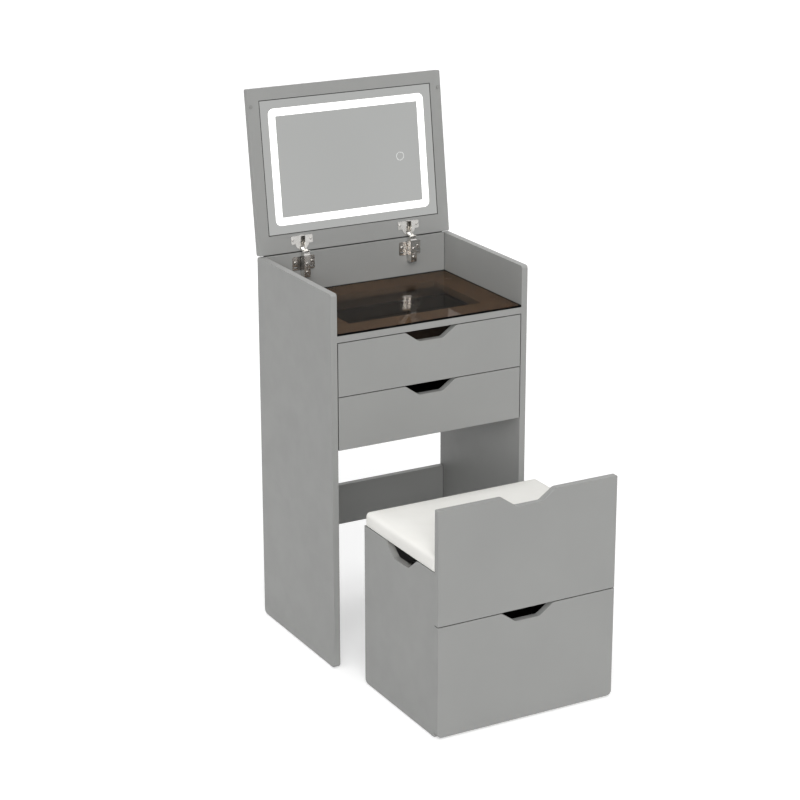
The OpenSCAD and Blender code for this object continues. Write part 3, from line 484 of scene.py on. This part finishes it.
# %% Plane the raw boards
def plain_board(name, stretch):
    """Pale plywood whose grain runs along the axis that is stretched least."""
    board, tree, shader = finish(name, 0.62)
    where = place(tree, stretch)
    streaks = cloud(tree, where, 9.0, detail=6.0, rough=0.65)
    pores = cloud(tree, where, 90.0)
    tones = [(0.25, (0.47, 0.36, 0.25)), (0.5, (0.58, 0.46, 0.33)), (0.75, (0.66, 0.55, 0.41))]
    sheen = between(tree, pores, 0.55, 0.72)
    drive(tree, shader, Base_Color=tints(tree, streaks, tones), Roughness=sheen)
    relief(tree, shader, [(streaks, 0.0003, 0.3), (pores, 0.0001, 0.4)])
    return board


squeezed, stretched = 12, 0.8
to_back = (squeezed, stretched, squeezed)
across = (stretched, squeezed, squeezed)
wear(["seat_board"], plain_board("board_grain_to_back", to_back))
wear(["seat_battens"], plain_board("board_grain_across", across))

# %% [markdown]
# ## Dark board
# The finger notches look into darkness, so the drawer boxes are taken to be faced with a black
# laminate: a matt sheet with a fine pressed pore, here two near-blacks over a fine noise.

# %% Face the drawer boxes
dark, tree, shader = finish("dark_laminate", 0.6, Specular_IOR_Level=0.12)
where = place(tree)
pores = cloud(tree, where, 900.0, detail=2.0)
near_blacks = two_tones(tree, pores, (0.016, 0.015, 0.014), (0.030, 0.028, 0.027))
matt = between(tree, cloud(tree, where, 40.0), 0.5, 0.68)
drive(tree, shader, Base_Color=near_blacks, Roughness=matt)
relief(tree, shader, [(pores, 0.00005, 0.4)])
drawers = ("upper_drawer", "lower_drawer", "stool_drawer")
boxes = [drawer + board for drawer in drawers for board in ("_sides", "_back", "_bottom")]
wear(boxes, dark)

# %% [markdown]
# ## The seat's cushion
# The seat is a slab of foam on a board, wrapped tightly in white leatherette that is stapled
# underneath. Its sides stand nearly upright, its upper edge is a soft round, and the top swells a
# little. It starts as a slab that is slightly too small, its corners and upper edge are rounded,
# and a cloth simulation with some pressure inside then swells it against its own skin. The foot
# stays pinned, as staples hold it, and the front stays flat where it lies against the front board.


# %% Helpers for modelling by hand
def clear_selection():
    """Leaves edit mode and selects nothing."""
    if bpy.context.object and bpy.context.object.mode != "OBJECT":
        bpy.ops.object.mode_set(mode="OBJECT")
    bpy.ops.object.select_all(action="DESELECT")


def choose(piece):
    """Selects one piece and makes it the active one."""
    clear_selection()
    piece.select_set(True)
    bpy.context.view_layer.objects.active = piece


def block(name, low, high):
    """A cube primitive that fills the space between two corners, with its place in its mesh."""
    clear_selection()
    bpy.ops.mesh.primitive_cube_add(size=1, location=(low + high) / 2)
    piece = bpy.context.object
    piece.name = piece.data.name = name
    piece.scale = high - low
    bpy.ops.object.transform_apply(location=True, rotation=True, scale=True)
    return piece


def choose_edges(piece, test):
    """Selects the edges whose two ends pass a test, and goes into edit mode."""
    bpy.ops.object.mode_set(mode="EDIT")
    bpy.ops.mesh.select_mode(type="EDGE")
    bpy.ops.mesh.select_all(action="DESELECT")
    bpy.ops.object.mode_set(mode="OBJECT")
    for edge in piece.data.edges:
        a, b = (piece.data.vertices[i].co for i in edge.vertices)
        edge.select = test(a, b)
    bpy.ops.object.mode_set(mode="EDIT")


# %% [markdown]
# The slab takes its place from the CAD cushion's box, a little less all round for the swelling and
# 5 mm less at the top. The upright edges are rounded first, and then all that is left sharp at the
# top is rounded in one go.

# %% Cut the foam slab
seat_low, seat_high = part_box("seat_cushion")
board_low, board_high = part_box("seat_board")
foot = seat_low.z + 0.0003
side_room, front_room, back_room, top_room = 0.0012, 0.0014, 0.0016, 0.005
start_low = Vector((seat_low.x + side_room, seat_low.y + front_room, foot))
start_high = Vector((seat_high.x - side_room, seat_high.y - back_room, seat_high.z - top_room))
cushion = block("seat_pad", start_low, start_high)


def is_upright(a, b):
    """An edge whose ends are at different heights."""
    return abs(a.z - b.z) > 0.01


def is_upper(a, b):
    """An edge that lies in the slab's top."""
    return min(a.z, b.z) > start_high.z - 0.001


choose_edges(cushion, is_upright)
bpy.ops.mesh.bevel(offset=0.008, segments=5)
choose_edges(cushion, is_upper)
bpy.ops.mesh.bevel(offset=0.010, segments=4)
bpy.ops.object.mode_set(mode="OBJECT")
print("slab has", len(cushion.data.vertices), "points")

# %% [markdown]
# The voxel remesh turns the slab into an even net that cloth can bend. The points along the foot
# are pinned.

# %% Turn the slab into a net
staple_height = 0.003
cushion.data.remesh_voxel_size = 0.005
choose(cushion)
bpy.ops.object.voxel_remesh()
points = cushion.data.vertices
pinned = cushion.vertex_groups.new(name="stapled")
pinned.add([v.index for v in points if v.co.z < foot + staple_height], 1.0, "REPLACE")
before = [v.co.copy() for v in points]
print("net has", len(before), "points")


# %% [markdown]
# The cloth's rest state is that net. The pressure pushes it out, and springs hold it together:
# stiff ones along the skin, as leatherette hardly stretches, and soft ones against bending. Gravity
# is off, because foam carries the skin. After 20 steps it is at rest, and the result is applied.


# %% Swell it with a cloth simulation
def apply(piece, name):
    """Applies one of a piece's modifiers."""
    bpy.context.view_layer.objects.active = piece
    bpy.ops.object.modifier_apply(modifier=name)


cloth = cushion.modifiers.new("cloth", "CLOTH")
cloth.settings.use_pressure = True
cloth.settings.uniform_pressure_force = 0.35
cloth.settings.vertex_group_mass = "stapled"
cloth.settings.effector_weights.gravity = 0.0
cloth.settings.tension_stiffness = 30
cloth.settings.compression_stiffness = 30
cloth.settings.shear_stiffness = 12
cloth.settings.bending_stiffness = 2
for step in range(1, 21):
    bpy.context.scene.frame_set(step)
apply(cushion, "cloth")
bpy.context.scene.frame_set(1)

# %% [markdown]
# A point may move 8 mm at most, and none may leave the room that the seat has: the front board
# stands right before it. Under the pad the leatherette is folded round the seat's board, so the
# middle of the underside is lifted to the board's upper face.

# %% Keep it within its room
farthest = 0.008
over, over_front = 0.0005, 0.0006
fold, above_board = 0.004, board_high.z + 0.0006
moved = []
for vertex, old in zip(cushion.data.vertices, before):
    step = vertex.co - old
    if step.length > farthest:
        vertex.co = old + step.normalized() * farthest
    vertex.co.x = min(max(vertex.co.x, seat_low.x - over), seat_high.x + over)
    vertex.co.y = min(max(vertex.co.y, seat_low.y - over_front), seat_high.y + over)
    vertex.co.z = max(vertex.co.z, foot)
    moved.append((vertex.co - old).length)
    on_board = (
        board_low.x - fold < vertex.co.x < board_high.x + fold
        and board_low.y - fold < vertex.co.y < board_high.y + fold
    )
    if on_board and vertex.co.z < above_board:
        vertex.co.z = above_board
print("largest move", round(1000 * max(moved), 1), "mm")

# %% [markdown]
# One subdivision, applied, takes the last corners out of the net.

# %% Smooth it
smooth = cushion.modifiers.new("smooth", "SUBSURF")
smooth.levels = smooth.render_levels = 1
apply(cushion, "smooth")
choose(cushion)
bpy.ops.object.shade_smooth()
print("cushion has", len(cushion.data.polygons), "faces")

# %% [markdown]
# ## White leatherette
# Leatherette has a pressed grain of small rounded cells with fine creases between them. Voronoi
# distance gives the cells, two noises vary their height and the sheen, and a slow noise gives the
# faint unevenness of a stretched skin. The white is slightly warm and never quite full.

# %% Cover the cushion
cover, tree, shader = finish("white_leatherette", 0.55, Specular_IOR_Level=0.15)
where = place(tree)
pebbles = tree.nodes.new("ShaderNodeTexVoronoi")
pebbles.feature = "SMOOTH_F1"
pebbles.inputs["Scale"].default_value = 800.0
tree.links.new(where, pebbles.inputs["Vector"])
slow = cloud(tree, where, 14.0)
whites = two_tones(tree, slow, (0.795, 0.786, 0.752), (0.826, 0.818, 0.786))
sheen = between(tree, cloud(tree, where, 90.0), 0.48, 0.62)
drive(tree, shader, Base_Color=whites, Roughness=sheen)
relief(tree, shader, [(slow, 0.0012, 0.25), (pebbles.outputs["Distance"], 0.00012, 0.4)])
cushion.data.materials.clear()
cushion.data.materials.append(cover)
wear(["seat_cushion"], cover)
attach(cushion, "seat")
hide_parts("seat_cushion")

# %% [markdown]
# ## The floor
# The room is a plain white studio. The floor is a pale matt sheet that keeps the soft shadow, and
# it is lifted to white for rays that look at it: from the camera, in a reflection or through glass.
# For the light that it throws back on the table it stays as pale as it is.


# %% Lay the floor
def looked_at(tree):
    """1 for rays from the camera, from a reflection and through glass, and 0 for other rays."""
    path = tree.nodes.new("ShaderNodeLightPath")
    seen = path.outputs["Is Camera Ray"]
    for kind in ("Is Glossy Ray", "Is Transmission Ray"):
        either = tree.nodes.new("ShaderNodeMath")
        either.operation = "MAXIMUM"
        tree.links.new(seen, either.inputs[0])
        tree.links.new(path.outputs[kind], either.inputs[1])
        seen = either.outputs[0]
    return seen


floor_lift = 0.43
clear_selection()
bpy.ops.mesh.primitive_plane_add(size=60, location=(0, 0, 0))
floor = bpy.context.object
floor.name = "floor"
pale, tree, shader = finish("pale_floor", 0.9, Specular_IOR_Level=0.0)
marks = cloud(tree, place(tree), 2.0)
pales = two_tones(tree, marks, (0.694, 0.694, 0.694), (0.706, 0.706, 0.706))
lift = between(tree, looked_at(tree), 0.0, floor_lift, start=0.0, end=1.0)
drive(tree, shader, Base_Color=pales, Emission_Strength=lift)
shader.inputs["Emission Color"].default_value = (1, 1, 1, 1)
floor.data.materials.append(pale)
print("floor is", round(floor.dimensions.x), "m wide")

# %% [markdown]
# ## The light
# Three soft suns stand in for a studio's boxes: a main one from the left front, a weak one from the
# left and a wide one overhead. White walls all round add an even glow, and where they are looked at
# they are plain white. Together they are as strong as it takes to show a colour about as it is.

# %% Paint the walls
wall_glow = 0.187
world = bpy.data.worlds.new("white_room")
bpy.context.scene.world = world
world.use_nodes = True
tree = world.node_tree
walls = tree.nodes["Background"]
walls.inputs["Color"].default_value = (1, 1, 1, 1)
glow = between(tree, looked_at(tree), wall_glow, 1.0, start=0.0, end=1.0)
tree.links.new(glow, walls.inputs["Strength"])
print("walls glow at", wall_glow)

# %% [markdown]
# A wide sun gives a soft shadow. Each one is turned so that it shines from its own direction.

# %% Hang the lights
for name, energy, width, source in (
    ("front_light", 2.08, 35, (-0.38, -0.8, 0.42)),
    ("left_light", 0.34, 35, (-0.85, -0.4, 0.35)),
    ("ceiling_light", 1.785, 80, (0, 0, 1)),
):
    sun = bpy.data.lights.new(name, "SUN")
    sun.energy = energy
    sun.angle = math.radians(width)
    lamp = bpy.data.objects.new(name, sun)
    bpy.context.scene.collection.objects.link(lamp)
    lamp.rotation_mode = "QUATERNION"
    lamp.rotation_quaternion = Vector(source).to_track_quat("Z", "Y")
    print(name, energy, "over", width, "degrees")

# %% [markdown]
# ## The grey card in front of the mirror
# A mirror shows what stands before it. Photographers put a grey card there, so that the mirror
# reads as glass and not as a hole full of white. The card stands to the right front, where the
# mirror's reflection points, and it shows in reflections only.

# %% Stand the card
card_width, card_height = 7.0, 3.2
card_middle = (2.0, -5.0, 2.43)
clear_selection()
bpy.ops.mesh.primitive_plane_add(size=1, location=(0, 0, 0))
card = bpy.context.object
card.name = "grey_card"
sized = Matrix.Diagonal((card_width, card_height, 1, 1))
stood_up = Matrix.Rotation(math.radians(-90), 4, "X") @ sized
card.data.transform(Matrix.Translation(card_middle) @ stood_up)
grey, tree, shader = finish("grey_card", 1.0, Specular_IOR_Level=0.0, Emission_Strength=1.0)
wide = cloud(tree, place(tree), 0.6)
shade = two_tones(tree, wide, (0.50, 0.505, 0.50), (0.53, 0.535, 0.53))
shader.inputs["Base Color"].default_value = (0, 0, 0, 1)
drive(tree, shader, Emission_Color=shade)
card.data.materials.append(grey)
card.visible_camera = card.visible_diffuse = card.visible_shadow = False
card.visible_transmission = False
print("card is", card_width, "x", card_height, "m")

# %% [markdown]
# ## Finish
# The picture's colours are shown as they are, without a film curve.

# %% Show the colours as they are
scene = bpy.context.scene
scene.view_settings.view_transform = "Standard"
